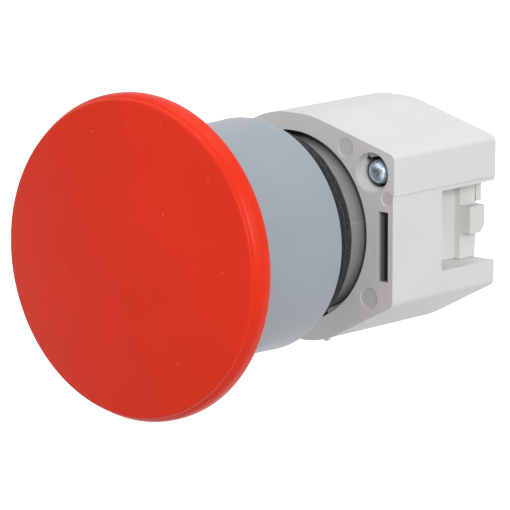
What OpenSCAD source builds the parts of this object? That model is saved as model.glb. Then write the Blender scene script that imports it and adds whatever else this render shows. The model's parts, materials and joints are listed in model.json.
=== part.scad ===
// Emergency stop button for a 22 mm panel hole: a push to stop, pull to release mushroom head,
// a collar and bushing in front of the panel, a clamp-on holder and two contact blocks behind it.
// The origin is the centre of the panel hole on the panel's front face. The user looks along +Y,
// with +X to the right and +Z up. Inside the facing() frame, x is to the right, y is up and z comes
// out of the panel towards the user, so heights below zero lie behind the panel's front face.

/* [Mushroom head] */
// Diameter of the mushroom head
head_d = 40; // [36:0.5:40]
// Height of the middle of the head over the panel
head_top = 28.9; // [28.7:0.1:29.5]
// How far the face's edge lies below its middle
face_crown = 1.9; // [1.5:0.05:2]
// Distance that the head is pushed in
travel = 4; // [3:0.1:4]

/* [Collar and panel seal] */
// Diameter of the collar at its rear rim
collar_d = 29.1; // [28:0.1:30]
// Diameter of the collar at its front end
collar_front_d = 28.3; // [27.6:0.1:28.6]
// Height of the collar's front end over the panel
collar_top = 19.4; // [19:0.1:19.5]
// Height of the collar's rear rim over the panel
collar_rim = 4.1; // [4:0.1:4.6]
// Diameter of the panel seal's front ridge
seal_d = 26.8; // [26.4:0.1:27]

/* [Bushing] */
// Diameter of the neck that goes through the panel hole
neck_d = 22; // [21.8:0.1:22]
// Diameter of the stem
stem_d = 10; // [9.8:0.1:10]
// Gap all round a sliding stem or plunger
run_gap = 0.05; // [0.03:0.01:0.1]

/* [Holder] */
// Room for the panel between the seal and the holder
panel_room = 3.6; // [3:0.1:4]
// Width of the holder
holder_w = 32.6; // [32.6:0.1:34]
// Half of the holder's height
holder_r = 14.25; // [14.2:0.05:14.3]
// Front to back depth of the holder
holder_depth = 20.4; // [20.2:0.1:20.8]
// Diameter of the holder's opening
opening_d = 24.1; // [24:0.1:24.4]
// Distance that a clamp screw comes forward
clamp_travel = 3.2; // [2:0.1:3.2]

/* [Contact blocks] */
// Distance that a terminal screw backs out to let a wire in
terminal_travel = 1.2; // [0.5:0.1:1.2]
// Thickness of the contact strips
strip_t = 0.6; // [0.4:0.1:0.6]
// Number of turns in each contact spring
contact_turns = 5; // [4:1:6]

/* [Hidden] */
$fn = 96;

// A small overlap that lets one cut run cleanly through the next
eps = 0.02;

// Heights along the axis, from the user's side to the back
lip_z = head_top - 4.4;
skirt_low = lip_z - 0.8;
roof_low = head_top - 3.4;
hub_low = 18.6;
flange_top = collar_top - 2.5;
flange_low = 12;
hub_room_low = hub_low - travel - 0.4;
seal_groove_top = 12.8;
seal_groove_low = 11;
spring_seat = 9;
trip_flange_top = 2.2;
trip_flange_low = 0.65;
guide_top = -3.4;
bushing_low = -9.4;
ring_z = -6.2;
stem_low = -9.7;
plate_t = 1.8;
plate_low = stem_low - plate_t;
holder_top = -panel_room;
holder_low = holder_top - holder_depth;
block_top = -15.8;
block_low = -24.2;
step_low = -25.35;
tower_low = -29.6;

// Radii round the axis
head_r = head_d / 2;
face_r = head_r - 0.9;
face_edge_r = 0.4;
band_r = 1.8;
hub_r = 7.6;
neck_r = neck_d / 2;
stem_r = stem_d / 2;
stem_neck_r = 4;
cavity_r = 8;
flange_r = 12.3;
opening_r = opening_d / 2;
ledge_r = neck_r + 0.15;
groove_w = 1.4;
ring_wire_r = 0.5;
spring_mid_r = 6.6;
spring_wire_r = 0.5;
plate_r = 7.2;

// The holder's section: flat top and bottom, and sloping lines at these distances from the middle
right_upper_off = 14.5;
right_lower_off = 14.85;
left_upper_off = 14.3;
left_lower_off = 14.5;
side_x = holder_w / 2;
step_proud = 0.15;
upper_tilt = 15.8;
lower_tilt = 27.6;
corner_r = 0.9;
upper_brow_r = 14;
lower_brow_r = 11;
window_top = 4.85;
window_bottom = -5.25;
window_front = holder_top - 9.75;
arm_x = 13.15;
bay_x = 9.6;
bay_y = 8.6;
bay_top = -12;

// The clamp screws, one in the upper right corner and one half a turn from it
clamp_x = 12.8;
clamp_y = 8;
clamp_head_r = 2.5;
clamp_shank_r = 1.6;
clamp_tip_r = 1.55;
clamp_tip = holder_top - 0.6;
clamp_head_low = -22.9;
clamp_head_top = -20.9;
insert_r = 2.3;
insert_low = -13.2;
insert_top = -10.2;

// The contact blocks, in x and y, as seen on the right hand side
block_in = 0.3;
block_mid = 4.85;
block_out = 9.3;
block_y = 8.3;
arm_out = 12;
arm_foot = 13;
arm_top_y = 4.7;
arm_low_y = -5.24;
foot_top = -21.1;
wall = 1.1;
plunger_r = 1.6;
spigot_r = 0.9;
spigot_low = -21.5;
pocket_low = -26.5;
contact_y = 5;
strip_w = 3;
strip_out = block_y - wall;
strip_end = -26.6;
screw_y = 5.3;
screw_r = 1.2;
screw_head_r = 2.1;
screw_head_top = -27.4;
screw_head_low = -28.4;
chamber_low = screw_head_top - terminal_travel - 0.1;

// Contact heights: the break pair touches at rest, the make pair is open by the whole travel
nc_shoulder = -18.7;
no_shoulder = -16.9;
bridge_t = 0.6;
tip_t = 0.6;
contact_gap = 0.02;
nc_fixed_face = nc_shoulder + tip_t + contact_gap;
no_fixed_face = no_shoulder - bridge_t - tip_t - travel - contact_gap;

head_red = [0.84, 0.2, 0.15];
collar_grey = [0.64, 0.67, 0.7];
bushing_grey = [0.46, 0.47, 0.48];
rubber_black = [0.08, 0.08, 0.08];
holder_white = [0.86, 0.86, 0.86];
cover_white = [0.8, 0.8, 0.78];
zinc = [0.7, 0.73, 0.76];
spring_steel = [0.6, 0.6, 0.62];
brass = [0.78, 0.66, 0.36];
silver = [0.85, 0.85, 0.84];
nc_red = [0.75, 0.15, 0.12];
no_green = [0.1, 0.5, 0.25];

// Points along a round stretch of an outline
function arc(cx, cy, r, from, to, steps) =
    [for (i = [0:steps]) let (a = from + (to - from) * i / steps) [cx + r * cos(a), cy + r * sin(a)]];

// The frame of the panel: x right, y up, z out towards the user
module facing() rotate([90, 0, 0]) children();

// A ring between two radii and two heights
module ring(outer, inner, low, top)
    rotate_extrude()
        translate([inner, low])
            square([outer - inner, top - low]);

// A plain cylinder between two heights
module post(r, low, top)
    translate([0, 0, low])
        cylinder(r = r, h = top - low);

// A box given by its two corners
module block(low, high)
    translate(low)
        cube(high - low);

// A coil spring of round wire, swept as rings of six corners along a helix
module coil(mid_r, wire_r, low, top, turns) {
    per_turn = 20;
    sides = 6;
    rings = turns * per_turn;
    rise = (top - low - 2 * wire_r) / rings;
    points = [for (i = [0:rings], k = [0:sides - 1])
        let (turn = 360 * i / per_turn, spin = 360 * k / sides, r = mid_r + wire_r * cos(spin))
        [r * cos(turn), r * sin(turn), low + wire_r + rise * i + wire_r * sin(spin)]];
    skin = [for (i = [0:rings - 1], k = [0:sides - 1])
        let (a = i * sides + k, b = i * sides + (k + 1) % sides)
        [a, b, b + sides, a + sides]];
    first_cap = [[for (k = [sides - 1:-1:0]) k]];
    last_cap = [[for (k = [0:sides - 1]) rings * sides + k]];
    polyhedron(points = points, faces = concat(skin, first_cap, last_cap), convexity = 10);
}

// ---- Head and stem ----

// The red shell: a crowned face, a crease round it, a rounded side band and a lip, and inside a hub
// that screws on to the stem
module head_cap() color(head_red) facing() {
    dome_r = (face_r * face_r + face_crown * face_crown) / (2 * face_crown);
    dome_span = asin(face_r / dome_r);
    dome = arc(0, head_top - dome_r, dome_r, 90, 90 - dome_span, 8);
    edge = arc(face_r - face_edge_r * sin(dome_span), head_top - face_crown - face_edge_r * cos(dome_span),
        face_edge_r, 90 - dome_span, 0, 6);
    band = arc(head_r - band_r, lip_z + 0.6, band_r, 46, 0, 8);
    lip = arc(head_r - 0.8, lip_z, 0.8, 0, -90, 5);
    inside = [[head_r - 1.7, skirt_low], [head_r - 2.3, roof_low - 0.5], [head_r - 3, roof_low],
        [hub_r + 0.6, roof_low], [hub_r, roof_low - 0.6], [hub_r, hub_low], [stem_neck_r, hub_low],
        [stem_neck_r, roof_low], [0, roof_low]];
    rotate_extrude($fn = 180)
        polygon(concat(dome, edge, band, lip, inside));
}

// The stem: a threaded neck in the head, two latch grooves, and the flange that the trip spring drives
module stem() color(cover_white) facing() difference() {
    union() {
        post(stem_neck_r - run_gap, hub_low - eps, roof_low - 0.3);
        post(stem_r, stem_low, hub_low);
        post(7.5, trip_flange_low, trip_flange_top);
    }
    for (z = [ring_z, ring_z + travel])
        ring(stem_r + 1, stem_r - 0.6, z - groove_w / 2, z + groove_w / 2);
    post(1.5, stem_low - 1, -4);
}

// The disc that pushes both contact plungers
module pusher_plate() color(cover_white) facing() difference() {
    post(plate_r, plate_low, stem_low);
    post(1.6, plate_low - 1, stem_low + 1);
    translate([0, 0, plate_low - eps])
        cylinder(r1 = 3, r2 = 1.6, h = 1.4 + eps);
}

// Countersunk screw that holds the pusher plate on the stem
module pusher_screw() color(zinc) facing() difference() {
    union() {
        post(1.5, plate_low + 0.1, -4.2);
        translate([0, 0, plate_low + 0.1])
            cylinder(r1 = 2.8, r2 = 1.5, h = 1.3);
    }
    block([-2.4, -0.35, plate_low - 1], [2.4, 0.35, plate_low + 0.7]);
}

// Wiper ring in the front guide
module stem_seal() color(rubber_black) facing()
    rotate_extrude()
        translate([stem_r + run_gap + 0.6, (seal_groove_top + seal_groove_low) / 2])
            circle(r = 0.6, $fn = 24);

// ---- In front of the panel ----

// The smooth tapered collar with its pierced front wall
module collar() color(collar_grey) facing() {
    rear_r = collar_d / 2;
    front_r = collar_front_d / 2;
    rim = arc(rear_r - 0.3, collar_rim + 0.3, 0.3, -90, 0, 4);
    nose = arc(front_r - 0.9, collar_top - 0.9, 0.9, 0, 90, 8);
    inside = [[hub_r + 0.6, collar_top], [hub_r + 0.6, flange_top], [flange_r, flange_top],
        [flange_r, collar_rim + 2], [13.5, collar_rim + 2], [13.5, collar_rim]];
    rotate_extrude($fn = 160)
        polygon(concat(rim, nose, inside));
}

// Rubber seal with two ridges, seated in the collar's mouth
module panel_seal() color(rubber_black) facing() {
    ridge_r = seal_d / 2;
    bore_r = neck_r + run_gap;
    rotate_extrude($fn = 160)
        polygon(concat([[bore_r, 0], [11.9, 0]], arc(12.4, 0.5, 0.45, -75, 75, 6),
            [[12.2, 1.2]], arc(ridge_r - 0.35, 1.9, 0.35, -75, 75, 6),
            [[12.5, 2.7], [13.2, 3.4], [13.5, collar_rim], [13.5, collar_rim + 2],
            [bore_r, collar_rim + 2]]));
}

// The neck through the panel, its guide bore, spring room and two bayonet lugs
module bushing() color(bushing_grey) facing() {
    difference() {
        union() {
            post(neck_r, bushing_low, flange_low + eps);
            post(flange_r, flange_low, flange_top);
        }
        post(hub_r + 0.5, hub_room_low, flange_top + 1);
        post(stem_r + run_gap, spring_seat - 1, flange_top);
        ring(stem_r + 1.3, stem_r - 1, seal_groove_low, seal_groove_top);
        post(cavity_r, bushing_low - 1, spring_seat);
    }
    for (turn = [-20, 160])
        rotate([0, 0, turn])
            rotate_extrude(angle = 40)
                translate([neck_r - 0.2, bushing_low + 0.2])
                    square([1.1, 2]);
}

// Compressed while the head is out; drives the stem home once the latch lets go
module trip_spring() color(spring_steel) facing()
    coil(spring_mid_r, spring_wire_r, trip_flange_top + 0.02, spring_seat - 0.02, 4);

// Plug in the back of the bushing, with the rear bore and the seat of the latch ring
module rear_guide() color(cover_white) facing() difference() {
    post(cavity_r, bushing_low, guide_top);
    post(stem_r + run_gap, bushing_low - 1, guide_top + 1);
    ring(stem_r + 1.1, stem_r - 1, ring_z - groove_w / 2, ring_z + groove_w / 2);
}

// Open wire ring that snaps into the stem's grooves
module latch_ring() color(spring_steel) facing()
    rotate([0, 0, 105])
        rotate_extrude(angle = 330)
            translate([stem_r, ring_z])
                circle(r = ring_wire_r, $fn = 20);

// ---- Holder behind the panel ----

// The soft turn from the holder's flat top into a slope, given by its distance from the middle
function brow(off, tilt, r) =
    let (x = (off - holder_r * cos(tilt)) / sin(tilt))
    arc(x - r * tan(tilt / 2), holder_r - r, r, 90, 90 - tilt, 8);

// The rounded corner where a slope meets the upright side at x
function shoulder(off, tilt, x) =
    let (y = (off - x * sin(tilt)) / cos(tilt), back = corner_r * tan((90 - tilt) / 2))
    arc(x - corner_r, y - back, corner_r, 90 - tilt, 0, 6);

// The right hand half of the holder's outline, clockwise from the top
function flank(upper_off, lower_off) =
    let (lower = concat(brow(lower_off, lower_tilt, lower_brow_r),
        shoulder(lower_off, lower_tilt, side_x - step_proud)))
    concat(brow(upper_off, upper_tilt, upper_brow_r), shoulder(upper_off, upper_tilt, side_x),
        [[side_x, 5.45], [side_x - step_proud, 5.3]],
        [for (i = [len(lower) - 1:-1:0]) [lower[i][0], -lower[i][1]]]);

// The space for the contact blocks, open at the back and through both side windows
module block_bay() {
    block([-bay_x, -bay_y, holder_low - 1], [bay_x, bay_y, bay_top]);
    for (turn = [0, 180])
        rotate([0, 0, turn]) {
            block([0, window_bottom, holder_low - 1], [arm_x, window_top, window_front + 1]);
            block([arm_x - 1, window_bottom, holder_low - 1], [side_x + 1, window_top, window_front]);
        }
}

// The neck's opening: a bayonet ledge with two gaps, and a pocket behind it
module neck_opening() {
    post(ledge_r, bay_top - 1, holder_top + 1);
    post(opening_r, holder_top - 2.4, holder_top + 1);
    post(opening_r, bay_top - eps, holder_top - 3.4);
    for (turn = [70, 250])
        rotate([0, 0, turn])
            rotate_extrude(angle = 40)
                translate([neck_r - 1, bay_top])
                    square([opening_r - neck_r + 1, holder_top - bay_top]);
}

// Everything that is cut for one clamp screw and its threaded insert
module clamp_cut() translate([clamp_x, clamp_y, 0]) {
    post(2.55, holder_top - 1.2, holder_top + 1);
    post(1.95, insert_top, holder_top);
    post(clamp_head_r + 0.15, holder_low - 1, clamp_head_top + clamp_travel + 0.1);
    rotate([0, 0, 135])
        block([1, -0.45, holder_top - 5.4], [2.5, 0.45, holder_top]);
    post(insert_r, clamp_head_top, insert_top);
}

// Marks that the mould's ejector pins leave on the front face
module pin_marks() {
    depth = 0.15;
    for (mark = [[8.6, 10.75, 1.2], [12.4, -7.7, 1.35], [15.2, 5, 0.9]])
        translate([mark[0], mark[1], 0])
            post(mark[2], holder_top - depth, holder_top + 1);
}

// The clamp-on holder
module holder() color(holder_white) facing() difference() {
    union() {
        translate([0, 0, holder_low])
            linear_extrude(height = holder_depth)
                polygon(concat(flank(right_upper_off, right_lower_off),
                    [for (p = flank(left_lower_off, left_upper_off)) -p]));
        translate([5.5, -13.6, 0])
            post(0.4, holder_top - 0.7, holder_top - 0.1);
    }
    neck_opening();
    block_bay();
    for (turn = [0, 180])
        rotate([0, 0, turn]) {
            clamp_cut();
            pin_marks();
            block([13.7, -5.4, holder_top - 9], [15.4, 3.35, holder_top + 1]);
        }
}

// Slotted screw with a domed tip, turned from the back to press on the panel
module clamp_screw() translate([clamp_x, clamp_y, 0]) difference() {
    union() {
        post(clamp_shank_r, clamp_head_low + 1, clamp_tip - 2.6);
        post(clamp_head_r, clamp_head_low, clamp_head_top);
        rotate_extrude($fn = 48)
            polygon(concat([[0, clamp_tip - 2.8], [clamp_tip_r, clamp_tip - 2.8]],
                [for (a = [0:15:90]) [clamp_tip_r * cos(a), clamp_tip - 1 + sin(a)]]));
    }
    block([-3, -0.4, clamp_head_low - 1], [3, 0.4, clamp_head_low + 1.1]);
}
module clamp_screw_upper() color(zinc) facing() clamp_screw();
module clamp_screw_lower() color(zinc) facing() rotate([0, 0, 180]) clamp_screw();

// Two threaded inserts, pressed into the holder
module clamp_inserts() color(brass) facing()
    for (turn = [0, 180])
        rotate([0, 0, turn])
            translate([clamp_x, clamp_y, 0])
                ring(insert_r, clamp_shank_r + run_gap, insert_low, insert_top);

// ---- Contact blocks: side 1 is the break block on the right, -1 the make block on the left ----

module on_side(side) facing() rotate([0, 0, side > 0 ? 0 : 180]) children();

// Housing with a release tab on its outer arm
module contact_housing(side) color(holder_white) on_side(side) difference() {
    union() {
        block([block_in, -block_y, block_low], [block_out, block_y, block_top]);
        block([block_in, arm_low_y, block_low], [arm_out, arm_top_y, block_top]);
        block([block_out, arm_low_y, block_low], [arm_foot, arm_top_y, foot_top]);
        translate([arm_foot - 1, 0, 0])
            rotate([0, 90, 0])
                linear_extrude(height = 2.6)
                    polygon([[-foot_top, 1.65], [-foot_top, -1.9], [3.4 - foot_top - 1.2, -1.9],
                        [3.4 - foot_top - 0.4, -1], [3.4 - foot_top - 0.4, 1.65]]);
    }
    block([block_in + wall, -strip_out, block_low - 1], [block_out - wall, strip_out, block_top - 1]);
    block([block_in + wall, -3.7, block_low - 1], [arm_out - wall, 3.5, block_top - 1]);
    translate([block_mid, 0, 0])
        post(plunger_r + run_gap, block_top - 2, block_top + 1);
}

// Cover that closes the housing and carries the screw terminals
module contact_cover(side) color(cover_white) on_side(side) difference() {
    union() {
        block([block_in, -block_y, tower_low], [8.6, block_y, block_low]);
        block([block_in, 1.8, step_low], [arm_foot, arm_top_y, block_low]);
    }
    translate([block_mid, 0, 0])
        post(2.4, pocket_low, block_low + 1);
    for (up = [-1, 1])
        scale_y(up) {
            block([block_mid - 2.35, 3.2, chamber_low], [block_mid + 2.35, block_y + 1, -25.2]);
            block([block_mid - strip_w / 2 - 0.1, strip_out - strip_t - 0.1, -25.4],
                [block_mid + strip_w / 2 + 0.1, strip_out + 0.1, block_low + 1]);
            translate([block_mid, screw_y, 0])
                post(screw_head_r + 0.25, tower_low - 1, chamber_low + 1);
        }
}

// Mirror a lower piece from an upper one
module scale_y(up) {
    if (up > 0) children();
    else mirror([0, 1, 0]) children();
}

// Plunger with a shoulder for the contact bridge and a spigot for the spring
module contact_plunger(side, shoulder) on_side(side) translate([block_mid, 0, 0]) {
    post(plunger_r, shoulder, plate_low - 0.05);
    post(spigot_r, spigot_low, shoulder + eps);
}

// Bridge with a tip at each end; facing is 1 for tips towards the user
module contact_bridge(side, shoulder, tips_out) color(brass) on_side(side)
    translate([block_mid, 0, 0]) {
        tip_low = tips_out > 0 ? shoulder - eps : shoulder - bridge_t - tip_t;
        tip_top = tips_out > 0 ? shoulder + tip_t : shoulder - bridge_t + eps;
        difference() {
            block([-1.4, -contact_y - 1.2, shoulder - bridge_t], [1.4, contact_y + 1.2, shoulder]);
            post(spigot_r, shoulder - 2, shoulder + 1);
        }
        for (y = [-contact_y, contact_y])
            translate([0, y, 0])
                post(1, tip_low, tip_top);
    }

module contact_spring(side, shoulder) color(spring_steel) on_side(side)
    translate([block_mid, 0, 0])
        coil(1.6, 0.2, pocket_low + 0.02, shoulder - bridge_t - 0.02, contact_turns);

// Fixed contact: a tip on an inner strip, a leg along the wall, and a screw pad at the back
module contact_terminal(side, up, face, tips_out) color(brass) on_side(side) scale_y(up)
    translate([block_mid, 0, 0]) {
        strip_low = tips_out > 0 ? face + tip_t : face - tip_t - strip_t;
        tip_low = tips_out > 0 ? face : face - tip_t - eps;
        half = strip_w / 2;
        block([-half, 3.9, strip_low], [half, strip_out, strip_low + strip_t]);
        block([-half, strip_out - strip_t, strip_end], [half, strip_out, strip_low + strip_t]);
        translate([0, contact_y, 0])
            post(1, tip_low, tip_low + tip_t + eps);
        difference() {
            block([-half, 3.4, strip_end], [half, strip_out, strip_end + strip_t]);
            translate([0, screw_y, 0])
                post(screw_r + run_gap, strip_end - 1, strip_end + 1);
        }
    }

// Square clamping washer under a terminal screw
module clamp_washer(side, up) color(zinc) on_side(side) scale_y(up)
    translate([block_mid, screw_y, 0])
        difference() {
            block([-1.9, -1.9, screw_head_top], [1.9, 1.9, strip_end - 0.25]);
            post(screw_r, screw_head_top - 1, strip_end + 1);
        }

// Slotted terminal screw
module terminal_screw(side, up) color(zinc) on_side(side) scale_y(up)
    translate([block_mid, screw_y, 0])
        difference() {
            union() {
                post(screw_r, screw_head_top - eps, -25.25);
                post(screw_head_r, screw_head_low, screw_head_top);
            }
            block([-3, -0.3, screw_head_low - 1], [3, 0.3, screw_head_low + 0.5]);
        }

module nc_housing() contact_housing(1);
module nc_cover() contact_cover(1);
module nc_plunger() color(nc_red) contact_plunger(1, nc_shoulder);
module nc_bridge() contact_bridge(1, nc_shoulder, 1);
module nc_spring() contact_spring(1, nc_shoulder);
module nc_terminal_upper() contact_terminal(1, 1, nc_fixed_face, 1);
module nc_terminal_lower() contact_terminal(1, -1, nc_fixed_face, 1);
module nc_clamp_upper() clamp_washer(1, 1);
module nc_clamp_lower() clamp_washer(1, -1);
module nc_screw_upper() terminal_screw(1, 1);
module nc_screw_lower() terminal_screw(1, -1);
module no_housing() contact_housing(-1);
module no_cover() contact_cover(-1);
module no_plunger() color(no_green) contact_plunger(-1, no_shoulder);
module no_bridge() contact_bridge(-1, no_shoulder, -1);
module no_spring() contact_spring(-1, no_shoulder);
module no_terminal_upper() contact_terminal(-1, -1, no_fixed_face, -1);
module no_terminal_lower() contact_terminal(-1, 1, no_fixed_face, -1);
module no_clamp_upper() clamp_washer(-1, -1);
module no_clamp_lower() clamp_washer(-1, 1);
module no_screw_upper() terminal_screw(-1, -1);
module no_screw_lower() terminal_screw(-1, 1);

head_cap();
stem();
pusher_plate();
pusher_screw();
stem_seal();
collar();
panel_seal();
bushing();
trip_spring();
rear_guide();
latch_ring();
holder();
clamp_screw_upper();
clamp_screw_lower();
clamp_inserts();
nc_housing();
nc_cover();
nc_plunger();
nc_bridge();
nc_spring();
nc_terminal_upper();
nc_terminal_lower();
nc_clamp_upper();
nc_clamp_lower();
nc_screw_upper();
nc_screw_lower();
no_housing();
no_cover();
no_plunger();
no_bridge();
no_spring();
no_terminal_upper();
no_terminal_lower();
no_clamp_upper();
no_clamp_lower();
no_screw_upper();
no_screw_lower();
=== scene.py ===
import json
import math

import bmesh
import bpy
from mathutils import Matrix, Vector
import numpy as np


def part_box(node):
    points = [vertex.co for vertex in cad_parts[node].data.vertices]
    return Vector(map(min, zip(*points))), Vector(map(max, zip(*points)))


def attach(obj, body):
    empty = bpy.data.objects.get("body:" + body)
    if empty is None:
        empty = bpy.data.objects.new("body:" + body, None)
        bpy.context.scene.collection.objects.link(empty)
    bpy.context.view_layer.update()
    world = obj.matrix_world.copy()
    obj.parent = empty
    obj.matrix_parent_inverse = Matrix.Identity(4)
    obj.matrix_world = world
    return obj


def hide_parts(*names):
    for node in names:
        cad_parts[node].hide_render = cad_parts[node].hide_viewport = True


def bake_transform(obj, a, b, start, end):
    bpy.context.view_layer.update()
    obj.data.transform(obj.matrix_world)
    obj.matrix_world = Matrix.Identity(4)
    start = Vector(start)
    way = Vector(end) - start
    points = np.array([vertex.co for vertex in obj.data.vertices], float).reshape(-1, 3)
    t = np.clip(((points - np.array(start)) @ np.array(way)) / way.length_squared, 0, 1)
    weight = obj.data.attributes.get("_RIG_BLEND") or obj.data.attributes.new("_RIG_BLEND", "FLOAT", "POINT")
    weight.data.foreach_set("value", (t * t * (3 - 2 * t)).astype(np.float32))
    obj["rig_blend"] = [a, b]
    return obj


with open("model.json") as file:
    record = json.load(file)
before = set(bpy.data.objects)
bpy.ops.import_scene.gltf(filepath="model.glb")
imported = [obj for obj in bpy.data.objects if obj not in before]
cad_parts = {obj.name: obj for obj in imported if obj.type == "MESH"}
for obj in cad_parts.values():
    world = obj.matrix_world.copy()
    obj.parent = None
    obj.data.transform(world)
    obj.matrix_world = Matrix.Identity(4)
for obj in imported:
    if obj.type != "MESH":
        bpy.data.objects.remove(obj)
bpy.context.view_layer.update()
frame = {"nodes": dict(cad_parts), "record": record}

# Looks of the emergency stop button: materials, then pieces, then the studio. Lengths are in mm
# except in the studio, which is in metres. A height is measured along the axis, out of the panel
# towards the user, as in the part's source.

MM = 0.001
BODY_OF = {n: body for body, nodes in frame["record"]["behaviour"]["bodies"].items() for n in nodes}
SLOT_OF = {part["node"]: part["material_slot"] for part in frame["record"]["subparts"]}

# ---- Sizes, read from the frame where the frame has them ----


def top_of(cad):
    """The greatest height of a CAD node."""
    return -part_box(cad)[0].y / MM


def low_of(cad):
    """The least height of a CAD node."""
    return -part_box(cad)[1].y / MM


def radius_of(cad):
    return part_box(cad)[1].x / MM


HEAD_R = radius_of("head_cap")
HEAD_TOP = top_of("head_cap")
HUB_R = 7.6
HUB_LOW = low_of("head_cap")
FACE_R = HEAD_R - 0.9  # where the face meets its soft edge
CROWN = 1.9  # how far the face rises from there to its middle
DOME_R = (FACE_R ** 2 + CROWN ** 2) / (2 * CROWN)
COLLAR_R = radius_of("collar")
COLLAR_TOP = top_of("collar")
COLLAR_RIM = low_of("collar")
NECK_R = 11.0
SAME_PLACE = 1e-6  # points nearer than this are one point


def at(x, y, z):
    """A point given as right, up and out of the panel in mm, in the frame's metres."""
    return Vector((x, -z, y)) * MM


def dome(r):
    """Height of the head's face at radius r."""
    return HEAD_TOP - DOME_R + math.sqrt(DOME_R ** 2 - r ** 2)


# ---- Materials ----

MATERIALS = {}
MOST = (0.3, 0.7)  # the band that holds nearly all of a noise
PEAKS = (0.62, 0.8)  # the band that picks out its peaks


def node(tree, kind, **properties):
    made = tree.nodes.new(kind)
    for key, value in properties.items():
        setattr(made, key, value)
    return made


def shade(colour, factor):
    return tuple(min(1.0, c * factor) for c in colour)


def rgba(colour):
    """A colour for a socket: a link stays as it is, and three numbers get a fourth."""
    return colour if isinstance(colour, bpy.types.NodeSocket) else (*colour, 1.0)


class Finish:
    """A material under construction: a Principled shader with its texture in the frame's mm."""

    def __init__(self, slot):
        self.slot = slot
        self.mat = bpy.data.materials.new(slot)
        self.mat.use_nodes = True
        self.tree = self.mat.node_tree
        self.tree.nodes.clear()
        out = node(self.tree, "ShaderNodeOutputMaterial")
        self.shader = node(self.tree, "ShaderNodeBsdfPrincipled")
        self.fill(out, {"Surface": self.shader.outputs["BSDF"]})
        place = self.add("ShaderNodeTexCoord", "Object", {})
        self.mm = self.stretched(place, (1 / MM, 1 / MM, 1 / MM))

    def fill(self, made, inputs):
        """Fills a node's inputs, each with a value or with a link from another node's output."""
        for key, value in inputs.items():
            if isinstance(value, bpy.types.NodeSocket):
                self.tree.links.new(value, made.inputs[key])
            else:
                made.inputs[key].default_value = value

    def add(self, kind, output, inputs, **properties):
        """Adds a node, fills its inputs and gives back one of its outputs."""
        made = node(self.tree, kind, **properties)
        self.fill(made, inputs)
        return made.outputs[output]

    def stretched(self, place, scale):
        return self.add("ShaderNodeMapping", "Vector", {"Vector": place, "Scale": scale})

    def noise(self, per_mm, detail=2.0, rough=0.5, place=None):
        return self.add("ShaderNodeTexNoise", "Fac", {
            "Vector": place or self.mm, "Scale": per_mm, "Detail": detail, "Roughness": rough})

    def specks(self, per_mm, size, soft=0.02):
        """1 inside scattered dots, 0 between them."""
        far = self.add("ShaderNodeTexVoronoi", "Distance", {"Vector": self.mm, "Scale": per_mm})
        return self.ramp(far, (size, size + soft), (1.0, 0.0))

    def away(self, x=0.0, y=0.0):
        """Distance from the line that runs along the axis through a point to the right and up."""
        moved = self.add("ShaderNodeVectorMath", "Vector", {0: self.mm, 1: (x, 0.0, y)},
                         operation="SUBTRACT")
        flat = self.add("ShaderNodeVectorMath", "Vector", {0: moved, 1: (1.0, 0.0, 1.0)},
                        operation="MULTIPLY")
        return self.add("ShaderNodeVectorMath", "Value", {0: flat}, operation="LENGTH")

    def inside(self, low, high, soft):
        """1 inside a box given by two corners in the frame's axes, fading to 0 just outside it."""
        parts = node(self.tree, "ShaderNodeSeparateXYZ")
        self.fill(parts, {"Vector": self.mm})
        mask = None
        for value, a, b in zip(parts.outputs, low, high):
            for side in (self.ramp(value, (a - soft, a)),
                         self.ramp(value, (b, b + soft), (1.0, 0.0))):
                mask = self.times(mask, side) if mask else side
        return mask

    def ramp(self, value, band, result=(0.0, 1.0)):
        """Spreads a band of a value over the result, and stays level beyond the band's ends."""
        return self.add("ShaderNodeMapRange", "Result", {
            "Value": value, "From Min": band[0], "From Max": band[1],
            "To Min": result[0], "To Max": result[1]})

    def times(self, a, b):
        return self.add("ShaderNodeMath", "Value", {0: a, 1: b}, operation="MULTIPLY")

    def mix(self, amount, a, b):
        """Colour a where the amount is 0 and colour b where it is 1."""
        return self.add("ShaderNodeMix", 2, {"Factor": amount, 6: rgba(a), 7: rgba(b)},
                        data_type="RGBA")

    def bump(self, height, depth, strength=1.0, over=None):
        """Relief of a depth in mm, on top of another relief where one is given."""
        inputs = {"Height": height, "Distance": depth * MM, "Strength": strength}
        if over:
            inputs["Normal"] = over
        return self.add("ShaderNodeBump", "Normal", inputs)

    def finish(self, **values):
        """Fills the shader's inputs, _ standing for a space, and keeps the material by its slot."""
        self.fill(self.shader, {key.replace("_", " "): value for key, value in values.items()})
        MATERIALS[self.slot] = self.mat


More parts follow.
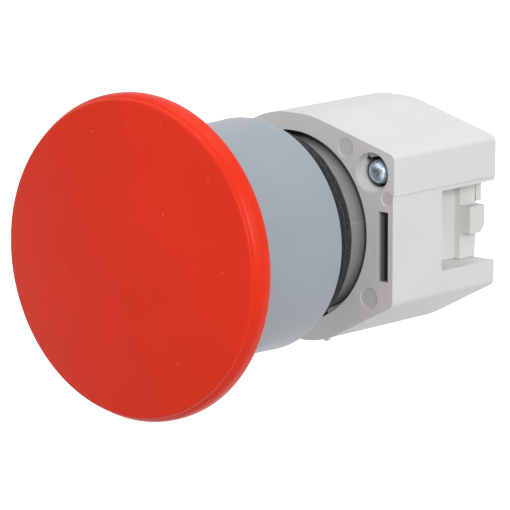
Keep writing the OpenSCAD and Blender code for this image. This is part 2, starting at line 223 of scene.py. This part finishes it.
def moulded(slot, colour, rough, grain, per_mm, vary, cloud_per_mm=0.12, dust=None, spec=0.5,
            discs=(), patches=()):
    """Moulded plastic: a fine eroded grain of a depth in mm and faint flow clouds. Dust is the size
    and colour of specks. Discs are the duller marks of ejector pins, as right, up and radius.
    Patches darken or lighten what lies inside a box, as its two corners, the width of its soft
    edge and a factor; a darkening patch is painted shade."""
    f = Finish(slot)
    cloud = f.noise(cloud_per_mm, 3.0)
    tint = f.mix(f.ramp(cloud, MOST), shade(colour, 1 - vary), shade(colour, 1 + vary))
    fine = f.noise(per_mm, 3.0, 0.6)
    tint = f.mix(f.ramp(fine, PEAKS, (0.0, 0.25)), tint, shade(colour, 1 - 3 * vary))
    if dust:
        size, dust_colour = dust
        thinned = f.ramp(f.noise(0.35), (0.45, 0.6), (0.0, 0.6))
        tint = f.mix(f.times(f.specks(0.55, size), thinned), tint, dust_colour)
    for x, y, r in discs:
        tint = f.mix(f.ramp(f.away(x, y), (r - 0.12, r), (1.0, 0.0)), tint, shade(colour, 0.88))
    # Each patch tints a box: darkening ones are painted shade, lightening ones draw parting lines.
    for low, high, soft, factor in patches:
        tint = f.mix(f.inside(low, high, soft), tint, shade(colour, factor))
    waves = f.bump(f.noise(0.5), grain * 0.8, 0.6, over=f.bump(fine, grain))
    f.finish(Base_Color=tint, Roughness=f.ramp(fine, MOST, (rough - 0.05, rough + 0.05)),
             Normal=waves, Specular_IOR_Level=spec)


def rubber(slot, colour, groove, crest):
    """Matt rubber with speckles of moulding dust. A painted highlight lightens it from the groove's radius
    to the crest's and outwards, so the crests look lit and the grooves stay dark as if in shade."""
    f = Finish(slot)
    fine = f.noise(9.0, 4.0, 0.7)
    tint = f.mix(f.ramp(fine, (0.35, 0.75)), shade(colour, 0.5), shade(colour, 1.6))
    # Painted highlight on the crests; the grooves keep the darker tone of painted shade.
    crest_highlight = f.times(f.ramp(f.away(), (groove, crest)), f.ramp(fine, (0.3, 0.6), (0.2, 1.0)))
    tint = f.mix(crest_highlight, tint, shade(colour, 6.0))
    thinned = f.ramp(f.noise(2.3, 3.0), (0.45, 0.65), (0.0, 0.8))
    tint = f.mix(f.times(f.specks(5.5, 0.16, 0.2), thinned), tint, (0.22, 0.22, 0.21))
    f.finish(Base_Color=tint, Roughness=f.ramp(fine, MOST, (0.62, 0.82)),
             Normal=f.bump(fine, 0.03), Specular_IOR_Level=0.12)


def metal(slot, colour, rough, brushed, grain=0.01, vary=0.12, metallic=1.0):
    """Plated or drawn metal: streaks, long in the direction where brushed is small, and stains."""
    f = Finish(slot)
    streak = f.noise(5.0, 4.0, 0.65, f.stretched(f.mm, brushed))
    stain = f.noise(0.9, 3.0)
    tint = f.mix(f.ramp(streak, MOST), shade(colour, 1 - vary), shade(colour, 1 + vary))
    tint = f.mix(f.ramp(stain, (0.5, 0.8), (0.0, 0.35)), tint, shade(colour, 0.75))
    f.finish(Base_Color=tint, Metallic=metallic, Normal=f.bump(streak, grain),
             Roughness=f.ramp(stain, (0.3, 0.75), (rough - 0.06, rough + 0.14)))


# Marks on the holder's front; painted shade in its slots and screw holes, whose insides get little light;
# and the neck's two parting lines. The right and left sides repeat each other by a half turn.
PIN_MARKS = ((8.6, 10.75, 1.2), (12.4, -7.7, 1.35), (15.2, 5.0, 0.9))
PAINTED_SHADE_HOLLOWS = (((13.5, 4.4, -5.5), (15.45, 12.0, 3.5), 0.4, 0.25),
           ((-15.45, 4.4, -3.5), (-13.5, 12.0, 5.5), 0.4, 0.25),
           ((10.7, 5.4, 5.9), (14.9, 12.0, 10.1), 0.4, 0.25),
           ((-14.9, 5.4, -10.1), (-10.7, 12.0, -5.9), 0.4, 0.25))
PARTING_LINES = (((10.6, -1.0, 1.63), (11.2, 9.0, 1.73), 0.04, 1.3),
                 ((-11.2, -1.0, -1.73), (-10.6, 9.0, -1.63), 0.04, 1.3))

moulded("head_red", (0.78, 0.03, 0.006), rough=0.36, grain=0.010, per_mm=8.0, vary=0.04,
        cloud_per_mm=0.1, dust=(0.05, (0.85, 0.3, 0.22)), spec=0.15)
moulded("collar_grey", (0.31, 0.355, 0.395), rough=0.36, grain=0.008, per_mm=8.0, vary=0.03)
rubber("seal_rubber", (0.008, 0.008, 0.0085), groove=12.45, crest=12.85)
moulded("bushing_grey", (0.285, 0.285, 0.29), rough=0.4, grain=0.010, per_mm=7.0, vary=0.04,
        patches=PARTING_LINES)
# The holder's patches paint shade into the insides of its slots and screw holes.
moulded("holder_white", (0.72, 0.715, 0.705), rough=0.46, grain=0.012, per_mm=6.0, vary=0.02,
        discs=PIN_MARKS, patches=PAINTED_SHADE_HOLLOWS)
moulded("block_white", (0.7, 0.7, 0.68), rough=0.48, grain=0.012, per_mm=6.0, vary=0.025)
moulded("cover_white", (0.66, 0.66, 0.63), rough=0.48, grain=0.012, per_mm=6.0, vary=0.025)
moulded("stem_nylon", (0.64, 0.62, 0.55), rough=0.4, grain=0.008, per_mm=6.0, vary=0.03)
moulded("plunger_red", (0.52, 0.03, 0.025), rough=0.4, grain=0.008, per_mm=7.0, vary=0.04)
moulded("plunger_green", (0.03, 0.3, 0.09), rough=0.4, grain=0.008, per_mm=7.0, vary=0.04)
metal("zinc_screw", (0.52, 0.61, 0.7), rough=0.28, brushed=(0.6, 0.25, 0.6), grain=0.05, vary=0.4,
      metallic=0.8)
metal("spring_steel", (0.5, 0.5, 0.52), rough=0.3, brushed=(0.3, 1.0, 0.3))
metal("contact_brass", (0.78, 0.6, 0.28), rough=0.3, brushed=(1.0, 0.2, 1.0))

# ---- Pieces ----


def place(name, mesh, slot, crease=32):
    """Puts a finished mesh in the scene with its slot's material, smooth up to an angle."""
    mesh.polygons.foreach_set("use_smooth", [True] * len(mesh.polygons))
    mesh.set_sharp_from_angle(angle=math.radians(crease))
    obj = bpy.data.objects.new(name, mesh)
    bpy.context.scene.collection.objects.link(obj)
    mesh.materials.clear()
    mesh.materials.append(MATERIALS[slot])
    return obj


def add(name, mesh, body, slot, cad):
    """Places a piece that rides on a body and stands for a CAD node."""
    obj = place(name, mesh, slot)
    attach(obj, body)
    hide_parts(cad)
    return obj


def rounded(points, steps=4):
    """A closed outline from corners of (r, z, rounding), with an arc of that radius at each."""
    out = []
    count = len(points)
    for i, (px, py, r) in enumerate(points):
        p = Vector((px, py))
        if r <= 0:
            out.append((px, py))
            continue
        a = (Vector(points[i - 1][:2]) - p).normalized()
        b = (Vector(points[(i + 1) % count][:2]) - p).normalized()
        half = math.acos(max(-1.0, min(1.0, a.dot(b)))) / 2
        back = r / math.tan(half)
        centre = p + (a + b).normalized() * (r / math.sin(half))
        start, stop = p + a * back - centre, p + b * back - centre
        turn = start.angle_signed(stop)
        for k in range(steps + 1):
            v = start.copy()
            v.rotate(Matrix.Rotation(-turn * k / steps, 2))
            out.append(tuple(centre + v))
    return out


def bow(outline, r, z, radius, start, stop, steps):
    """Adds an arc round (r, z) to an outline, from one angle in degrees to another."""
    for k in range(steps + 1):
        a = math.radians(start + (stop - start) * k / steps)
        outline.append((r + radius * math.cos(a), z + radius * math.sin(a)))


def lathe(name, profile, body, slot, cad, steps=192, shape=None):
    """Turns a closed (r, z) outline round the axis. shape(r, z, angle) may return a changed r."""
    mesh = bpy.data.meshes.new(name)
    bm = bmesh.new()
    rings = []
    for r, z in profile:
        if r < SAME_PLACE:
            rings.append([bm.verts.new(at(0, 0, z))] * steps)
            continue
        ring = []
        for k in range(steps):
            angle = 2 * math.pi * k / steps
            rr = shape(r, z, angle) if shape else r
            ring.append(bm.verts.new(at(rr * math.cos(angle), rr * math.sin(angle), z)))
        rings.append(ring)
    for i, ring in enumerate(rings):
        after = rings[(i + 1) % len(rings)]
        for k in range(steps):
            j = (k + 1) % steps
            corners = list(dict.fromkeys((ring[k], ring[j], after[j], after[k])))
            if len(corners) > 2:
                bm.faces.new(corners)
    bmesh.ops.recalc_face_normals(bm, faces=bm.faces)
    bm.to_mesh(mesh)
    bm.free()
    add(name, mesh, body, slot, cad)


def head():
    """The crowned face with its soft edge, a crease, the side band, the lip and the hub."""
    face_steps = 24
    edge, band, bead = 0.4, 1.8, 0.8  # radii of the face's edge, the side band and the lip
    lip, roof = HEAD_TOP - 4.4, HEAD_TOP - 3.4
    hub_bore = 4.0
    span = math.asin(FACE_R / DOME_R)
    outline = []
    for k in range(face_steps):
        r = DOME_R * math.sin(span * k / face_steps)
        outline.append((r, dome(r)))
    bow(outline, FACE_R - edge * math.sin(span), dome(FACE_R) - edge * math.cos(span), edge,
        90 - math.degrees(span), 0, 10)
    bow(outline, HEAD_R - band, lip + 0.6, band, 46, 0, 12)
    bow(outline, HEAD_R - bead, lip, bead, 0, -90, 10)
    outline += rounded([
        (HEAD_R - 1.7, lip - bead, 0.25), (HEAD_R - 2.3, roof - 0.5, 0.6), (HEAD_R - 3, roof, 0.8),
        (HUB_R + 0.1, roof, 0.6), (HUB_R, HUB_LOW, 0.25),
        (hub_bore, HUB_LOW, 0), (hub_bore, roof, 0), (0, roof, 0)])
    lathe("head_shell", outline, "actuator", "head_red", "head_cap", steps=256)


def collar():
    """A cup with a hole for the hub, a little narrower at its front, and a skirt over the seal."""
    front_r, hole_r, bore_r, skirt_r = 14.15, HUB_R + 0.6, 12.3, 13.5
    wall, ledge = COLLAR_TOP - 2.5, COLLAR_RIM + 2
    outline = rounded([
        (COLLAR_R, COLLAR_RIM, 0.3), (front_r, COLLAR_TOP, 0.9), (hole_r, COLLAR_TOP, 0.35),
        (hole_r, wall, 0), (bore_r, wall, 0), (bore_r, ledge, 0), (skirt_r, ledge, 0),
        (skirt_r, COLLAR_RIM, 0.15)], 6)
    lathe("collar_shell", outline, "base", "collar_grey", "collar")


def seal():
    """Two soft ridges under the collar's rim, a little uneven like any trimmed rubber ring."""
    bore, back_r, ridge, rim_r = NECK_R + 0.05, 11.9, radius_of("panel_seal") - 0.1, 13.45
    top = COLLAR_RIM + 2
    outline = [(bore, 0), (back_r, 0)]
    bow(outline, 12.4, 0.5, 0.45, -75, 75, 8)
    outline.append((12.25, 1.15))
    bow(outline, ridge - 0.35, 1.9, 0.35, -75, 75, 8)
    outline += [(12.55, 2.7), (13.15, 3.35), (rim_r, COLLAR_RIM), (rim_r, top), (bore, top)]

    def worn(r, z, angle):
        """Adds 7 long waves and 23 short ones to the ridges, but not to the bore or the top."""
        if r < 11.2 or z > 3:
            return r
        return r + 0.025 * math.sin(angle * 7 + 1) + 0.015 * math.sin(angle * 23 + z)

    lathe("seal_ring", outline, "base", "seal_rubber", "panel_seal", shape=worn)


def coil(name, cad, middle, wire, turns, mover):
    """A spring of round wire, given the radii of the coil's middle and of the wire. It stretches
    between the base and its mover."""
    per_turn, sides = 40, 10
    low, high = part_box(cad)
    centre = (low + high) / 2 / MM
    front, back = top_of(cad), low_of(cad)
    rings = turns * per_turn
    rise = (front - back - 2 * wire) / rings
    mesh = bpy.data.meshes.new(name)
    bm = bmesh.new()
    loops = []
    for i in range(rings + 1):
        turn = 2 * math.pi * i / per_turn
        loop = []
        for k in range(sides):
            spin = 2 * math.pi * k / sides
            r = middle + wire * math.cos(spin)
            z = back + wire + rise * i + wire * math.sin(spin)
            loop.append(bm.verts.new(at(centre.x + r * math.cos(turn),
                                        centre.z + r * math.sin(turn), z)))
        loops.append(loop)
    for a, b in zip(loops, loops[1:]):
        for k in range(sides):
            j = (k + 1) % sides
            bm.faces.new((a[k], a[j], b[j], b[k]))
    bm.faces.new(loops[0])
    bm.faces.new(loops[-1])
    bmesh.ops.recalc_face_normals(bm, faces=bm.faces)
    bm.to_mesh(mesh)
    bm.free()
    obj = place(name, mesh, "spring_steel", crease=50)
    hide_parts(cad)
    held, driven = (front, back) if mover == "actuator" else (back, front)
    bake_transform(obj, "base", mover, start=at(centre.x, centre.z, held),
             end=at(centre.x, centre.z, driven))


def refined(cad, width, segments=2):
    """A copy of a CAD node's mesh with its flat faces joined and its edges softened by a width."""
    mesh = frame["nodes"][cad].data.copy()
    bm = bmesh.new()
    bm.from_mesh(mesh)
    bmesh.ops.remove_doubles(bm, verts=bm.verts, dist=SAME_PLACE)
    bmesh.ops.dissolve_limit(bm, angle_limit=math.radians(0.6), verts=bm.verts, edges=bm.edges)
    bm.to_mesh(mesh)
    bm.free()
    for attribute in [a.name for a in mesh.attributes if a.name.startswith("custom_normal")]:
        mesh.attributes.remove(mesh.attributes[attribute])
    obj = add(cad + "_piece", mesh, BODY_OF[cad], SLOT_OF[cad], cad)
    b = obj.modifiers.new("soft_edges", "BEVEL")
    b.width = width * MM
    b.segments = segments
    b.limit_method = "ANGLE"
    b.angle_limit = math.radians(38)
    b.use_clamp_overlap = True
    b.harden_normals = True


head()
collar()
seal()
coil("trip_coil", "trip_spring", middle=6.6, wire=0.5, turns=4, mover="actuator")
coil("nc_coil", "nc_spring", middle=1.6, wire=0.2, turns=5, mover="nc_contact")
coil("no_coil", "no_spring", middle=1.6, wire=0.2, turns=5, mover="no_contact")

for cad in ("bushing", "stem", "pusher_plate", "pusher_screw", "rear_guide", "clamp_inserts"):
    refined(cad, 0.08)
refined("holder", 0.25, segments=3)
for cad in ("clamp_screw_upper", "clamp_screw_lower"):
    refined(cad, 0.1)
for contact in ("nc_", "no_"):
    for cad in ("housing", "cover"):
        refined(contact + cad, 0.12)
    for cad in ("plunger", "bridge", "terminal_upper", "terminal_lower", "clamp_upper",
                "clamp_lower", "screw_upper", "screw_lower"):
        refined(contact + cad, 0.06)

# Two hidden rings keep the CAD's own mesh and get only a material.
for cad in ("stem_seal", "latch_ring"):
    materials = frame["nodes"][cad].data.materials
    materials.clear()
    materials.append(MATERIALS[SLOT_OF[cad]])

# ---- Studio, in metres ----

WHITE = (1, 1, 1, 1)

# The camera looks from the photograph's angle, from far off. It aims at a point on the axis and is
# then moved left and down without turning.
AZIMUTH, ELEVATION = math.radians(40.18), math.radians(10.52)
DISTANCE, LEFT, DOWN = 622.4, 4.523, 3.681  # mm
AIM = Vector((0, 3.6, 0))  # mm
FILM, FOCAL_PIXELS, IMAGE_PIXELS = 36, 5000, 510


def camera():
    back = Vector((math.sin(AZIMUTH) * math.cos(ELEVATION),
                   -math.cos(AZIMUTH) * math.cos(ELEVATION), math.sin(ELEVATION)))
    right = Vector((math.cos(AZIMUTH), math.sin(AZIMUTH), 0))
    up = back.cross(right)
    data = bpy.data.cameras.new("camera")
    data.sensor_width = FILM
    data.lens = FOCAL_PIXELS / IMAGE_PIXELS * FILM
    data.clip_start, data.clip_end = 0.01, 50
    cam = bpy.data.objects.new("camera", data)
    bpy.context.scene.collection.objects.link(cam)
    cam.location = (AIM + back * DISTANCE - right * LEFT - up * DOWN) * MM
    cam.rotation_mode = "QUATERNION"
    cam.rotation_quaternion = (-back).to_track_quat("-Z", "Y")
    bpy.context.scene.camera = cam


def floor():
    """A pale floor just under the head. It glows a little and throws no light on the object."""
    gap = 0.0005
    mesh = bpy.data.meshes.new("floor")
    bm = bmesh.new()
    bmesh.ops.create_grid(bm, x_segments=8, y_segments=8, size=6)
    bm.to_mesh(mesh)
    bm.free()
    obj = bpy.data.objects.new("floor", mesh)
    bpy.context.scene.collection.objects.link(obj)
    obj.location = (0, 0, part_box("head_cap")[0].z - gap)
    mat = bpy.data.materials.new("floor")
    mat.use_nodes = True
    for key, value in (("Base Color", (0.8, 0.8, 0.8, 1)), ("Roughness", 0.9),
                       ("Emission Color", WHITE), ("Emission Strength", 0.9)):
        mat.node_tree.nodes["Principled BSDF"].inputs[key].default_value = value
    mesh.materials.append(mat)
    obj.visible_diffuse = False


def lamp(name, spot, size, watts):
    """A square lamp that shines on the origin and isn't seen itself."""
    data = bpy.data.lights.new(name, "AREA")
    data.shape = "RECTANGLE"
    data.size = data.size_y = size
    data.energy = watts
    obj = bpy.data.objects.new(name, data)
    bpy.context.scene.collection.objects.link(obj)
    obj.location = spot
    obj.rotation_mode = "QUATERNION"
    obj.rotation_quaternion = (Vector((0, 0, 0)) - Vector(spot)).to_track_quat("-Z", "Y")
    obj.visible_camera = False


def surround(fill):
    """A white world at full strength to the camera and in reflections, and weaker as a light."""
    world = bpy.data.worlds.new("studio")
    bpy.context.scene.world = world
    world.use_nodes = True
    tree = world.node_tree
    background = tree.nodes["Background"]
    background.inputs["Color"].default_value = WHITE
    ray = node(tree, "ShaderNodeLightPath")
    seen = node(tree, "ShaderNodeMath", operation="MAXIMUM")
    strength = node(tree, "ShaderNodeMapRange")
    strength.inputs["To Min"].default_value = fill
    strength.inputs["To Max"].default_value = 1.0
    tree.links.new(ray.outputs["Is Camera Ray"], seen.inputs[0])
    tree.links.new(ray.outputs["Is Glossy Ray"], seen.inputs[1])
    tree.links.new(seen.outputs["Value"], strength.inputs["Value"])
    tree.links.new(strength.outputs["Result"], background.inputs["Strength"])


camera()
floor()
lamp("right", (0.92, 0.0, 0.34), size=0.5, watts=1.7)
lamp("top", (0.1, 0.08, 1.0), size=0.9, watts=4.2)
lamp("front", (-0.3, -1.0, 0.6), size=0.8, watts=2.3)
lamp("key", (0.94, -0.72, 0.36), size=0.22, watts=6.2)
surround(fill=0.38)
bpy.context.scene.view_settings.view_transform = "Standard"
